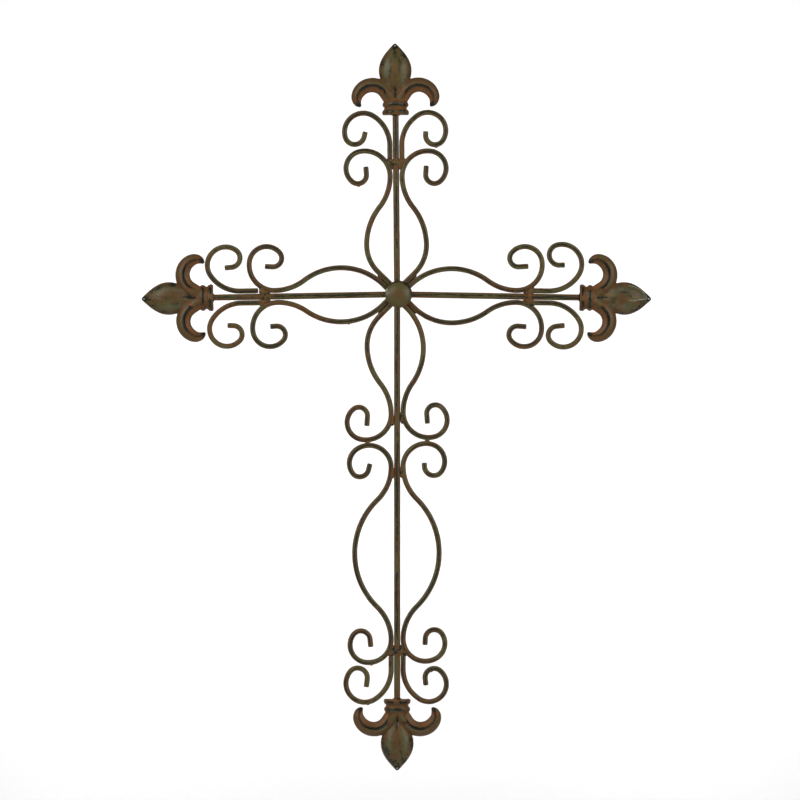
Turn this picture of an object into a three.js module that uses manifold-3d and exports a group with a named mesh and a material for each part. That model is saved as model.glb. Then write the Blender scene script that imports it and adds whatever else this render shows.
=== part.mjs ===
// A wrought iron wall cross: an upright and two arms of round rod, a domed boss over their crossing,
// a cast fleur-de-lis on each of the four ends, and bent rod scrolls welded along the rods.
//
// Millimetres, +Z up. The front faces -Y, and the wall is the plane y = 0. The origin is at the crossing
// of the rods, on the flat back of the boss.

import * as THREE from 'three';
import { mergeVertices } from 'three/addons/utils/BufferGeometryUtils.js';
import Module from 'manifold-3d';

const wasm = await Module();
wasm.setup();

// Rods. Every rod lies in one plane, ROD_DEPTH in front of the wall.
const ARM_ROD_DIAMETER = 6.5;
const SCROLL_ROD_DIAMETER = 5.5;
const ROD_DEPTH = 6;
const ROD_SIDES = 8;
// Air between two pieces that are welded or seated together.
const CLEARANCE = 0.3;
// How far a faceted bend may stray from its true arc, and never more than this share of its radius.
const CHORD_ERROR = 0.75;
const CHORD_ERROR_SHARE = 0.5;
// Fractions of a span at which a bend's reach is sampled.
const REACH_SAMPLES = [0, 0.25, 0.5, 0.75, 1];

// The four arms, as made by hand: the upright leans a little above the crossing and both side arms droop.
// direction is in degrees from +X towards +Z. The two sides are named as seen from the front, and 1 is the
// counter-clockwise one. leafGap is the air between the finial's leaf tips and the end scrolls.
const ARMS = {
  top: { direction: 90.5, leafGap: 3.5, sides: { left: 1, right: -1 } },
  left: { direction: 181, leafGap: 0.3, sides: { lower: 1, upper: -1 } },
  bottom: { direction: 270, leafGap: 2.6, sides: { right: 1, left: -1 } },
  right: { direction: 359, leafGap: 3.5, sides: { upper: 1, lower: -1 } },
};
const ARM_NAMES = Object.keys(ARMS);
// Radius of the slight bend where the upright starts to lean.
const UPRIGHT_BEND_RADIUS = 200;

// Boss
const BOSS_DIAMETER = 28.6;
const BOSS_DOME_HEIGHT = 10;
const BOSS_HUB_DIAMETER = 24;
const BOSS_SHIFT = 1.5;
const BOSS_SIDES = 16;
const BOSS_DOME_RINGS = 3;
// How deep the petal scrolls reach into the hub.
const PETAL_SOCKET_DEPTH = 1.6;

// Petal scrolls: from the boss out in a bow, back to touch the arm, and out again into a curl.
const PETAL_TOUCH_BEND = 52;
const PETAL_BELLY_BEND = 64;
const PETAL_CURL = { radii: [26.6, 18.1, 9.1], turns: [100, 130, 134] };
// touch is the distance from the crossing to where the scroll touches the arm, belly the bow's greatest
// distance from the arm's axis, and tip the straight end of the curl.
const PETALS = {
  top: {
    left: { touch: 124, belly: 31.5, tip: 8 },
    right: { touch: 123.5, belly: 31.2, tip: 9 },
  },
  left: {
    upper: { touch: 128, belly: 28.9, tip: 8 },
    lower: { touch: 125.5, belly: 27.8, tip: 6 },
  },
  bottom: {
    left: { touch: 126, belly: 31.5, tip: 10 },
    right: { touch: 123.5, belly: 27.5, tip: 10 },
  },
  right: {
    upper: { touch: 125, belly: 27.9, tip: 10 },
    lower: { touch: 125.5, belly: 28.9, tip: 8.5 },
  },
};

// Long scrolls, on the lower part of the upright: a bow with a curl at each end.
const BOW_TOUCH_BEND = 48;
const BOW_CURL = { radii: [25, 19.4, 10.2] };
// gap is the air between the upper curl and the petal's curl above it, length the distance between the
// two places where the bow touches the upright. The upper and lower curls turn as their turns say.
const BOWS = {
  left: {
    gap: 0.3,
    length: 181,
    belly: 44.5,
    upper: { open: 0.92, turns: [125, 90, 130], tip: 7 },
    lower: { open: 0.95, turns: [99, 116, 140], tip: 8 },
  },
  right: {
    gap: 0.9,
    length: 181,
    belly: 44,
    upper: { open: 0.96, turns: [100, 115, 143], tip: 4 },
    lower: { open: 0.93, turns: [118, 97, 142], tip: 7 },
  },
};

// End scrolls: a straight stretch along the arm that bends off into a curl in front of the finial.
const END_BEND = { radius: 37, turn: 57 };
const END_CURL = { radii: [19, 9.8] };
// gap is the air between this curl and the one behind it, open scales the curl's radii, and turns and tip
// are as above.
const END_SCROLLS = {
  top: {
    left: { gap: 1.5, open: 1.04, turns: [140, 149], tip: 5.5 },
    right: { gap: 1, open: 1, turns: [157, 148], tip: 4 },
  },
  left: {
    upper: { gap: 4, open: 1.01, turns: [158, 141], tip: 7 },
    lower: { gap: 5.7, open: 0.96, turns: [169, 132], tip: 6 },
  },
  bottom: {
    left: { gap: 0.3, open: 1.04, turns: [161, 149], tip: 8.5 },
    right: { gap: 2.1, open: 0.97, turns: [174, 136], tip: 7 },
  },
  right: {
    upper: { gap: 1.7, open: 1.1, turns: [138, 169], tip: 5 },
    lower: { gap: 1.6, open: 0.99, turns: [165, 131], tip: 8.5 },
  },
};

// Finials. x runs out along the arm from the face of the collar, and every half width is square to it.
// A depth share turns a half width into how far the form stands out from the wall.
const COLLAR = {
  halfWidth: 14.1,
  depthShare: 0.86,
  // Pairs of distance and share of the half width: a round foot, a waist and a bead.
  profile: [[0, 0.94], [2.6, 1], [4.8, 0.95], [7.1, 0.835], [10.4, 0.965], [14.6, 0.865]],
};
const NECK = { start: 14.2, halfWidth: 12.2, shoulder: 4, shoulderShare: 0.86, length: 15, depthShare: 0.76 };
const PETAL_LEAF = {
  start: 13.2,
  tip: 75.6,
  widest: 46.2,
  halfWidth: 17.3,
  rootHalfWidth: 6.5,
  // The straight flanks start at this share of the half width and meet at the tip.
  flankShare: 0.7,
  tipHalfAngle: 39,
  depthShare: 0.66,
};
// Where the middle leaf has rings, as shares of the way from its root to its widest place and from there
// to its flanks.
const PETAL_LEAF_RINGS = { lower: [0, 0.25, 0.5, 0.75], rounding: [0, 0.5] };
const CREASE = { start: 16.2, length: 21, width: 2.4, depth: 1 };
const LEAF = {
  start: { x: 13.2, z: 4.4 },
  heading: 33,
  stem: 12,
  crown: { radius: 16, turn: 124 },
  hook: { radius: 9.5, turn: 75 },
  outerWidth: 9,
  innerWidth: 6.3,
  // The ridge stands ridgeDepth from the wall at the root and tipRidgeDepth at the tip, and the edges stand
  // edgeDepth from it, or edgeShare of the ridge where that is less.
  ridgeDepth: 9.4,
  tipRidgeDepth: 4,
  edgeDepth: 3,
  edgeShare: 0.6,
  // A point of the outer slope, as shares of the width and of the rise to the ridge.
  shoulder: { across: 0.55, rise: 0.72 },
  // How the width and the ridge fade towards the tip: a high power holds them long, a low one ends bluntly.
  tipWidthShare: 0.16,
  widthFade: { power: 5, blunt: 0.6 },
  ridgeFade: { power: 3, blunt: 0.7 },
};
const FINIAL_SEGMENTS = 12;
const FINIAL_CHORD_ERROR = 0.6;

// Weld beads, as half sizes along the arm, across it and out from the wall, with depth the distance of
// their middle from the wall. An arm's bead is set back from the starts of its end scrolls, and the beads
// beside the upright lie beyond the places where the scrolls touch it.
const ARM_WELD = { along: 6, across: 9.6, out: 4, depth: 7.2, setback: 4 };
const TOUCH_WELD = { along: 7.5, across: 2.6, out: 3.2, depth: 7.2, beyond: 5 };
const CURL_WELD = { along: 3.4, across: 3, out: 2.6, depth: 6.4 };
const FINIAL_WELD = { along: 1.8, across: 5.2, out: 5, depth: 6.4 };
const WELD_SEGMENTS = [6, 5];

const PAINT = {
  armRod: 0x4f4230,
  scroll: 0x48402e,
  cast: 0x5a4632,
  boss: 0x514531,
  weld: 0x5e3f28,
};

const RADIANS = Math.PI / 180;
const ARM_ROD_RADIUS = ARM_ROD_DIAMETER / 2;
const SCROLL_ROD_RADIUS = SCROLL_ROD_DIAMETER / 2;
// From an arm's axis to the axis of a scroll that touches it.
const TOUCH_OFFSET = ARM_ROD_RADIUS + SCROLL_ROD_RADIUS + CLEARANCE;
// From the line halfway between two arms to the axis of a petal scroll that runs along it.
const DIAGONAL_OFFSET = SCROLL_ROD_RADIUS + CLEARANCE / 2;
const HUB_RADIUS = BOSS_HUB_DIAMETER / 2;
// From the crossing to the inner ends of the petal scrolls.
const PETAL_START = HUB_RADIUS - PETAL_SOCKET_DEPTH;

const straight = (length) => ({ length, turn: 0 });
const bend = (radius, degrees) => ({ length: radius * Math.abs(degrees) * RADIANS, turn: degrees * RADIANS });

// The angle in radians of one facet of a bend, from its radius.
function facetAngle(radius, chordError) {
  return 2 * Math.acos(1 - Math.min(chordError / radius, CHORD_ERROR_SHARE));
}

// Cuts straights and bends into short spans, each with its place and heading in the plane of x and z.
function spansOf(start, heading, bends, chordError) {
  let { x, z } = start;
  let angle = heading * RADIANS;
  return bends.flatMap(({ length, turn }) => {
    const swept = Math.abs(turn);
    const count = swept === 0 ? 1 : Math.ceil(swept / facetAngle(length / swept, chordError));
    return Array.from({ length: count }, () => {
      const span = { x, z, angle, length: length / count, turn: turn / count };
      ({ x, z, angle } = along(span, 1));
      return span;
    });
  });
}

// The place and heading at a fraction of a span.
function along({ x, z, angle, length, turn }, fraction) {
  const next = angle + turn * fraction;
  if (turn === 0) {
    const step = length * fraction;
    return { x: x + step * Math.cos(angle), z: z + step * Math.sin(angle), angle };
  }
  const radius = length / turn;
  return {
    x: x + radius * (Math.sin(next) - Math.sin(angle)),
    z: z - radius * (Math.cos(next) - Math.cos(angle)),
    angle: next,
  };
}

function reachOf(spans) {
  const xs = spans.flatMap((span) => REACH_SAMPLES.map((fraction) => along(span, fraction).x));
  return { least: Math.min(...xs), most: Math.max(...xs) };
}

// The middle line of a bent rod: x runs outward along the arm and z to its counter-clockwise side. One
// step of the extrusion is one span.
class BentPath extends THREE.Curve {
  constructor({ start = { x: 0, z: 0 }, heading = 0, bends, side = 1, chordError = CHORD_ERROR }) {
    super();
    this.source = { start, heading, bends, side, chordError };
    this.side = side;
    this.spans = spansOf(start, heading, bends, chordError);
  }

  at(t) {
    const place = Math.min(Math.max(t, 0), 1) * this.spans.length;
    const index = Math.min(Math.floor(place), this.spans.length - 1);
    return along(this.spans[index], place - index);
  }

  getUtoTmapping(u) {
    return u;
  }

  getPoint(t, target = new THREE.Vector3()) {
    const { x, z } = this.at(t);
    return target.set(x, -ROD_DEPTH, z * this.side);
  }

  getTangent(t, target = new THREE.Vector3()) {
    const { angle } = this.at(t);
    return target.set(Math.cos(angle), 0, Math.sin(angle) * this.side);
  }

  stations() {
    return [...this.spans, along(this.spans.at(-1), 1)];
  }

  // Nearest and furthest reach along the arm.
  reach() {
    return reachOf(this.spans);
  }

  // The same rod, longer by the given length at both ends.
  lengthened(extra) {
    const { start, heading, bends } = this.source;
    const back = along({ ...start, angle: heading * RADIANS, length: -extra, turn: 0 }, 1);
    return new BentPath({ ...this.source, start: back, bends: [straight(extra), ...bends, straight(extra)] });
  }
}

// Joins a path that leaves a point with one that leaves it the other way, as one run of bends from end to
// end. Both are lists of bends, and the first is walked backwards.
function throughTouch(touch, inward, outward) {
  const walked = spansOf(touch, 180, inward, CHORD_ERROR);
  const end = along(walked.at(-1), 1);
  const back = inward.toReversed().map(({ length, turn }) => ({ length, turn: -turn }));
  return { start: { x: end.x, z: end.z }, heading: end.angle / RADIANS + 180, bends: [...back, ...outward] };
}

function sweepRod(path, diameter) {
  const corners = Array.from({ length: ROD_SIDES }, (_, i) => {
    const angle = (i / ROD_SIDES) * 2 * Math.PI;
    return new THREE.Vector2(Math.cos(angle), Math.sin(angle)).multiplyScalar(diameter / 2);
  });
  return new THREE.ExtrudeGeometry(new THREE.Shape(corners), { steps: path.spans.length, extrudePath: path });
}

// The space that a rod needs in a piece that it runs through.
function rodSpace({ path, diameter }) {
  return solidOf(sweepRod(path.lengthened(CLEARANCE), diameter + 2 * CLEARANCE));
}

function solidOf(geometry) {
  const bare = geometry.clone();
  bare.deleteAttribute('normal');
  bare.deleteAttribute('uv');
  const merged = mergeVertices(bare);
  const triangles = [];
  for (let i = 0; i < merged.index.count; i += 3) {
    const [a, b, c] = [0, 1, 2].map((corner) => merged.index.getX(i + corner));
    if (a !== b && b !== c && c !== a) triangles.push(a, b, c);
  }
  return new wasm.Manifold(new wasm.Mesh({
    numProp: 3,
    vertProperties: new Float32Array(merged.attributes.position.array),
    triVerts: new Uint32Array(triangles),
  }));
}

function geometryOf(solid) {
  const mesh = solid.getMesh();
  const geometry = new THREE.BufferGeometry();
  geometry.setAttribute('position', new THREE.BufferAttribute(new Float32Array(mesh.vertProperties), 3));
  geometry.setIndex(new THREE.BufferAttribute(new Uint32Array(mesh.triVerts), 1));
  geometry.computeVertexNormals();
  return geometry;
}

const cutAll = (solid, tools) => tools.reduce((left, tool) => left.subtract(tool), solid);
const joinAll = (solids) => solids.reduce((left, right) => left.add(right));
const largestPiece = (solid) => solid.decompose().sort((a, b) => b.volume() - a.volume())[0];

// Turned forms lie with their axis along x. Points are pairs of distance along x and radius, in order.
function turned(points, segments, depthShare) {
  const geometry = new THREE.LatheGeometry(points.map(([x, radius]) => new THREE.Vector2(radius, x)), segments);
  geometry.rotateZ(-Math.PI / 2);
  geometry.scale(1, depthShare, 1);
  return geometry;
}

// Everything behind the wall plane, for cutting forms flat at the back.
function behindWall(size) {
  const box = new THREE.BoxGeometry(size, size, size);
  box.translate(0, size / 2, 0);
  return solidOf(box);
}

// Skin over a row of closed rings with as many points each, capped at both ends.
function skinOver(rings) {
  const count = rings[0].length;
  const triangles = [];
  for (let ring = 0; ring + 1 < rings.length; ring += 1) {
    for (let i = 0; i < count; i += 1) {
      const [a, b] = [ring * count + i, ring * count + ((i + 1) % count)];
      triangles.push(a, b + count, b, a, a + count, b + count);
    }
  }
  const last = (rings.length - 1) * count;
  for (let i = 1; i + 1 < count; i += 1) {
    triangles.push(0, i, i + 1, last, last + i + 1, last + i);
  }
  const geometry = new THREE.BufferGeometry().setFromPoints(rings.flat());
  geometry.setIndex(triangles);
  return geometry;
}

function mirroredAcrossArm(geometry) {
  const mirrored = geometry.clone();
  mirrored.scale(1, 1, -1);
  mirrored.setIndex(Array.from(mirrored.index.array).reverse());
  return mirrored;
}

// One side leaf of the fleur-de-lis: a ridged blade that rises out of the collar, arches over and hooks
// back. Its rings reach behind the wall plane, where the finial is cut flat.
const leafPath = new BentPath({
  start: LEAF.start,
  heading: LEAF.heading,
  bends: [
    straight(LEAF.stem),
    bend(LEAF.crown.radius, LEAF.crown.turn),
    bend(LEAF.hook.radius, LEAF.hook.turn),
  ],
  chordError: FINIAL_CHORD_ERROR,
});

// What is left of a size at a share of the leaf's length.
const faded = (share, { power, blunt }) => (1 - share ** power) ** blunt;

function leafRings() {
  const stations = leafPath.stations();
  const length = leafPath.spans.reduce((sum, span) => sum + span.length, 0);
  let walked = 0;
  return stations.map(({ x, z, angle }, index) => {
    const share = walked / length;
    walked += leafPath.spans[index]?.length ?? 0;
    const width = Math.max(LEAF.tipWidthShare, faded(share, LEAF.widthFade));
    const ridge = THREE.MathUtils.lerp(LEAF.tipRidgeDepth, LEAF.ridgeDepth, faded(share, LEAF.ridgeFade));
    const edge = Math.min(LEAF.edgeDepth, ridge * LEAF.edgeShare);
    const point = (across, depth) => new THREE.Vector3(
      x + across * Math.sin(angle),
      -depth,
      z - across * Math.cos(angle),
    );
    const outer = LEAF.outerWidth * width;
    const inner = LEAF.innerWidth * width;
    return [
      point(outer, -LEAF.edgeDepth),
      point(outer, edge),
      point(outer * LEAF.shoulder.across, edge + (ridge - edge) * LEAF.shoulder.rise),
      point(0, ridge),
      point(-inner, edge),
      point(-inner, -LEAF.edgeDepth),
    ];
  });
}

const leafTipRise = Math.min(...leafRings().at(-1).map(({ x }) => x));

// Half widths of the middle leaf: straight flanks from the tip that round into the widest place, and an
// easy curve in to the root.
function petalLeafProfile() {
  const { start, tip, widest, halfWidth, rootHalfWidth, flankShare, tipHalfAngle } = PETAL_LEAF;
  const flankHalfWidth = flankShare * halfWidth;
  const shoulder = tip - flankHalfWidth / Math.tan(tipHalfAngle * RADIANS);
  const lower = PETAL_LEAF_RINGS.lower.map((share) => {
    const swell = (1 - Math.cos(share * Math.PI)) / 2;
    return [start + (widest - start) * share, rootHalfWidth + (halfWidth - rootHalfWidth) * swell];
  });
  const rounding = PETAL_LEAF_RINGS.rounding.map((share) => {
    const bulge = Math.sqrt(1 - share ** 2 * (1 - flankShare ** 2));
    return [widest + (shoulder - widest) * share, halfWidth * bulge];
  });
  return [[start, 0], ...lower, ...rounding, [shoulder, flankHalfWidth], [tip, 0]];
}

function finialSolid() {
  const { halfWidth, profile, depthShare } = COLLAR;
  const collarOutline = profile.map(([x, share]) => [x, share * halfWidth]);
  const collarEnd = profile.at(-1)[0];
  const collar = turned([[0, 0], ...collarOutline, [collarEnd, 0]], FINIAL_SEGMENTS, depthShare);
  const neckOutline = [
    [NECK.start, 0],
    [NECK.start, NECK.halfWidth],
    [NECK.start + NECK.shoulder, NECK.halfWidth * NECK.shoulderShare],
    [NECK.start + NECK.length, 0],
  ];
  const neck = turned(neckOutline, FINIAL_SEGMENTS, NECK.depthShare);
  const middleLeaf = turned(petalLeafProfile(), FINIAL_SEGMENTS, PETAL_LEAF.depthShare);
  const leaf = skinOver(leafRings());
  const whole = joinAll([collar, neck, middleLeaf, leaf, mirroredAcrossArm(leaf)].map(solidOf));
  return whole.subtract(creaseTool()).subtract(behindWall(4 * PETAL_LEAF.tip));
}

// The crease up the middle of the lower part of the middle leaf: a square bar on edge, which sinks into
// the front and runs out at its upper end.
function creaseTool() {
  const { start, length, width, depth } = CREASE;
  const side = width / Math.SQRT2;
  const bar = new THREE.BoxGeometry(length, side, side);
  bar.rotateX(Math.PI / 4);
  const front = NECK.halfWidth * NECK.depthShare;
  bar.translate(start + length / 2, -(front - depth + width / 2), 0);
  return solidOf(bar);
}

// Pieces are collected by arm, each with its mesh in the arm's own axes.
const cross = new THREE.Group();
const armGroups = Object.fromEntries(ARM_NAMES.map((name) => {
  const group = new THREE.Group();
  group.rotation.y = -ARMS[name].direction * RADIANS;
  cross.add(group);
  return [name, group];
}));

function addPiece(parent, name, geometry, { color, roughness, metalness }) {
  const mesh = new THREE.Mesh(geometry, new THREE.MeshStandardMaterial({ color, roughness, metalness }));
  mesh.name = name;
  parent.add(mesh);
  return mesh;
}

const rodPaint = { color: PAINT.armRod, roughness: 0.6, metalness: 0.35 };
const scrollPaint = { color: PAINT.scroll, roughness: 0.6, metalness: 0.35 };
const castPaint = { color: PAINT.cast, roughness: 0.7, metalness: 0.3 };
const bossPaint = { color: PAINT.boss, roughness: 0.65, metalness: 0.3 };
const weldPaint = { color: PAINT.weld, roughness: 0.8, metalness: 0.2 };

// Half the angle between an arm and its neighbour on the given side, in degrees.
function halfAngleBeside(armName, side) {
  const index = ARM_NAMES.indexOf(armName);
  const neighbour = ARM_NAMES[(index + side + ARM_NAMES.length) % ARM_NAMES.length];
  const between = (ARMS[neighbour].direction - ARMS[armName].direction) * side;
  return (((between % 360) + 360) % 360) / 2;
}

function petalPath(armName, sideName) {
  const side = ARMS[armName].sides[sideName];
  const { touch, belly, tip } = PETALS[armName][sideName];
  const half = halfAngleBeside(armName, side);
  const [sine, cosine] = [Math.sin(half * RADIANS), Math.cos(half * RADIANS)];
  const bendSum = PETAL_TOUCH_BEND + PETAL_BELLY_BEND;
  const lean = Math.acos(1 - (belly - TOUCH_OFFSET) / bendSum);
  const bellyX = touch - bendSum * Math.sin(lean);
  // The bow closes on the diagonal between the arms and runs along it into the hub.
  const closing = (bellyX * sine - belly * cosine - DIAGONAL_OFFSET) / (1 - cosine);
  const meetX = bellyX - closing * sine;
  const meetZ = belly - closing * (1 - cosine);
  const run = meetX * cosine + meetZ * sine - PETAL_START;
  const inward = [
    bend(PETAL_TOUCH_BEND, -lean / RADIANS),
    bend(PETAL_BELLY_BEND, lean / RADIANS),
    bend(closing, half),
    straight(run),
  ];
  const outward = [...PETAL_CURL.radii.map((radius, i) => bend(radius, PETAL_CURL.turns[i])), straight(tip)];
  return new BentPath({ ...throughTouch({ x: touch, z: TOUCH_OFFSET }, inward, outward), side });
}

// A long scroll's curl, walked away from the place where the bow touches the upright.
const bowCurl = ({ open, turns, tip }, way) => [
  ...BOW_CURL.radii.map((radius, i) => bend(radius * open, way * turns[i])),
  straight(tip),
];

function bowPath(sideName, petal) {
  const side = ARMS.bottom.sides[sideName];
  const { gap, length, belly, upper, lower } = BOWS[sideName];
  const lean = 2 * Math.atan((belly - TOUCH_OFFSET) / (length / 2));
  const bellyBend = length / 2 / Math.sin(lean) - BOW_TOUCH_BEND;
  const upperCurl = bowCurl(upper, -1);
  const upperReach = -reachOf(spansOf({ x: 0, z: TOUCH_OFFSET }, 180, upperCurl, CHORD_ERROR)).least;
  const upperTouch = petal.reach().most + SCROLL_ROD_DIAMETER + gap + upperReach;
  const degrees = lean / RADIANS;
  const inward = [
    bend(BOW_TOUCH_BEND, -degrees),
    bend(bellyBend, 2 * degrees),
    bend(BOW_TOUCH_BEND, -degrees),
    ...upperCurl,
  ];
  const touches = { upper: upperTouch, lower: upperTouch + length };
  const run = throughTouch({ x: touches.lower, z: TOUCH_OFFSET }, inward, bowCurl(lower, 1));
  return { path: new BentPath({ ...run, side }), touches };
}

// An end scroll starts where the curl behind it has left room for a rod, and its own curl keeps its gap
// to that curl.
function endPath(armName, sideName, behind) {
  const side = ARMS[armName].sides[sideName];
  const { gap, open, turns, tip } = END_SCROLLS[armName][sideName];
  const offArm = bend(END_BEND.radius, END_BEND.turn);
  const curl = [...END_CURL.radii.map((radius, i) => bend(radius * open, turns[i])), straight(tip)];
  const curlStart = along({ x: 0, z: 0, angle: 0, ...offArm }, 1);
  const curlSpans = spansOf(curlStart, END_BEND.turn, curl, CHORD_ERROR);
  const outside = behind.curlRadius + SCROLL_ROD_RADIUS + CLEARANCE;
  const inside = behind.curlRadius - SCROLL_ROD_RADIUS;
  const startX = behind.touch + Math.sqrt(outside ** 2 - inside ** 2);
  const bendX = behind.reach + SCROLL_ROD_DIAMETER + gap - reachOf(curlSpans).least;
  const start = { x: startX, z: TOUCH_OFFSET };
  return new BentPath({ start, bends: [straight(bendX - startX), offArm, ...curl], side });
}

function addScroll(armName, name, path) {
  addPiece(armGroups[armName], name, sweepRod(path, SCROLL_ROD_DIAMETER), scrollPaint);
  return { path, diameter: SCROLL_ROD_DIAMETER };
}

const scrollName = (kind, armName, sideName) => `${kind}_${armName}_${sideName}`;

// Lays out one arm: its scrolls, its reach from the crossing to the finial's collar, and where its welds
// go. Rods are kept so that welds and the boss can be cut to them.
function layOutArm(armName) {
  const sideNames = Object.keys(ARMS[armName].sides);
  const scrolls = sideNames.map((sideName) => {
    const petal = petalPath(armName, sideName);
    const touch = PETALS[armName][sideName].touch;
    const bow = armName === 'bottom' ? bowPath(sideName, petal) : null;
    const behind = bow
      ? {
        touch: bow.touches.lower,
        curlRadius: BOW_CURL.radii[0] * BOWS[sideName].lower.open,
        reach: bow.path.reach().most,
      }
      : { touch, curlRadius: PETAL_CURL.radii[0], reach: petal.reach().most };
    const end = endPath(armName, sideName, behind);
    return { sideName, touch, petal, bow, end };
  });
  const furthest = Math.max(...scrolls.map(({ end }) => end.reach().most));
  const reach = furthest + SCROLL_ROD_RADIUS + ARMS[armName].leafGap - leafTipRise;
  return { armName, scrolls, reach };
}

const layouts = Object.fromEntries(ARM_NAMES.map((name) => [name, layOutArm(name)]));

function addScrolls({ armName, scrolls }) {
  return scrolls.flatMap(({ sideName, petal, bow, end }) => [
    addScroll(armName, scrollName('petal_scroll', armName, sideName), petal),
    ...(bow ? [addScroll(armName, `long_scroll_${sideName}`, bow.path)] : []),
    addScroll(armName, scrollName('end_scroll', armName, sideName), end),
  ]);
}

// The upright runs whole from the bottom finial to the top one, and the side arms butt against it. It
// turns at the crossing from the line of the bottom arm to that of the top one.
function uprightPath() {
  const downward = ARMS.bottom.direction;
  const heading = downward - 180;
  const lean = bend(UPRIGHT_BEND_RADIUS, ARMS.top.direction - heading);
  const below = layouts.bottom.reach - CLEARANCE;
  const above = layouts.top.reach - CLEARANCE - lean.length;
  return new BentPath({
    start: along({ x: 0, z: 0, angle: downward * RADIANS, length: below, turn: 0 }, 1),
    heading,
    bends: [straight(below), lean, straight(above)],
  });
}

function sideArmPath({ reach }) {
  const root = ARM_ROD_RADIUS + CLEARANCE;
  return new BentPath({ start: { x: root, z: 0 }, bends: [straight(reach - CLEARANCE - root)] });
}

const uprightRod = { path: uprightPath(), diameter: ARM_ROD_DIAMETER };
addPiece(cross, 'upright_rod', sweepRod(uprightRod.path, uprightRod.diameter), rodPaint);

// The rod that the pieces of an arm are welded to, in the arm's own axes.
const armRods = Object.fromEntries(ARM_NAMES.map((name) => {
  const path = ['left', 'right'].includes(name)
    ? sideArmPath(layouts[name])
    : new BentPath({ bends: [straight(layouts[name].reach - CLEARANCE)] });
  return [name, { path, diameter: ARM_ROD_DIAMETER }];
}));
for (const name of ['left', 'right']) {
  addPiece(armGroups[name], `arm_rod_${name}`, sweepRod(armRods[name].path, ARM_ROD_DIAMETER), rodPaint);
}

const scrollRods = Object.fromEntries(ARM_NAMES.map((name) => [name, addScrolls(layouts[name])]));

// The boss: a dome over the crossing on a hub that reaches back to the wall, cut to the rods that run
// through it.
function bossSolid() {
  const seat = ROD_DEPTH + ARM_ROD_RADIUS + CLEARANCE;
  const radius = BOSS_DIAMETER / 2;
  const dome = Array.from({ length: BOSS_DOME_RINGS + 1 }, (_, i) => {
    const angle = (i / BOSS_DOME_RINGS) * (Math.PI / 2);
    return new THREE.Vector2(radius * Math.sin(angle), -seat - BOSS_DOME_HEIGHT * Math.cos(angle));
  });
  const hub = [[HUB_RADIUS, -seat], [HUB_RADIUS, 0], [0, 0]].map((point) => new THREE.Vector2(...point));
  const whole = new THREE.LatheGeometry([...dome, ...hub], BOSS_SIDES);
  whole.translate(BOSS_SHIFT, 0, 0);
  const slots = ARM_NAMES.flatMap((name) => {
    const { direction } = ARMS[name];
    const diagonal = direction + halfAngleBeside(name, 1);
    return [
      slot(direction, 0, ARM_ROD_DIAMETER, ARM_ROD_DIAMETER),
      slot(diagonal, PETAL_START, 2 * SCROLL_ROD_DIAMETER + CLEARANCE, SCROLL_ROD_DIAMETER),
    ];
  });
  return largestPiece(cutAll(solidOf(whole), slots));
}

// A square slot that runs out from the crossing at an angle, for rods that fill the given width and depth.
function slot(degrees, from, width, depth) {
  const box = new THREE.BoxGeometry(BOSS_DIAMETER, depth + 2 * CLEARANCE, width + 2 * CLEARANCE);
  box.translate(from - CLEARANCE + BOSS_DIAMETER / 2, -ROD_DEPTH, 0);
  box.rotateY(-degrees * RADIANS);
  return solidOf(box);
}
addPiece(cross, 'centre_boss', geometryOf(bossSolid()), bossPaint);

const finialGeometry = geometryOf(finialSolid());
for (const name of ARM_NAMES) {
  const finial = addPiece(armGroups[name], `finial_${name}`, finialGeometry.clone(), castPaint);
  finial.position.x = layouts[name].reach;
}

// A weld bead: a lump cut to the rods that it joins.
function weldGeometry({ along: length, across, out, depth }, centre, rods) {
  const lump = new THREE.SphereGeometry(1, ...WELD_SEGMENTS);
  lump.scale(length, out, across);
  lump.translate(centre.x, -depth, centre.z);
  return geometryOf(largestPiece(cutAll(solidOf(lump), rods.map(rodSpace))));
}

// Across the front of an arm, where the end scrolls start between the curls and the rod.
function addArmWeld({ armName, scrolls }) {
  const starts = scrolls.map(({ end }) => end.reach().least);
  const x = Math.min(...starts) - ARM_WELD.setback;
  const rods = [armRods[armName], ...scrollRods[armName]];
  addPiece(armGroups[armName], `weld_${armName}_arm`, weldGeometry(ARM_WELD, { x, z: 0 }, rods), weldPaint);
}

// Beside a rod, in the wedge next to the place where a scroll touches it.
function addTouchWeld(armName, name, touch, side) {
  const centre = { x: touch + TOUCH_WELD.beyond, z: side * ARM_ROD_RADIUS };
  const rods = [armRods[armName], ...scrollRods[armName]];
  addPiece(armGroups[armName], name, weldGeometry(TOUCH_WELD, centre, rods), weldPaint);
}

// Between the curl of a lower petal scroll and the long scroll's upper curl.
function addCurlWeld(scroll) {
  const side = ARMS.bottom.sides[scroll.sideName];
  const { gap, upper } = BOWS[scroll.sideName];
  const above = PETAL_CURL.radii[0];
  const below = BOW_CURL.radii[0] * upper.open;
  const centre = {
    x: scroll.touch + above + SCROLL_ROD_RADIUS + gap / 2,
    z: (TOUCH_OFFSET + (above + below) / 2) * side,
  };
  const weld = weldGeometry(CURL_WELD, centre, scrollRods.bottom);
  addPiece(armGroups.bottom, `weld_curls_${scroll.sideName}`, weld, weldPaint);
}

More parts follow.
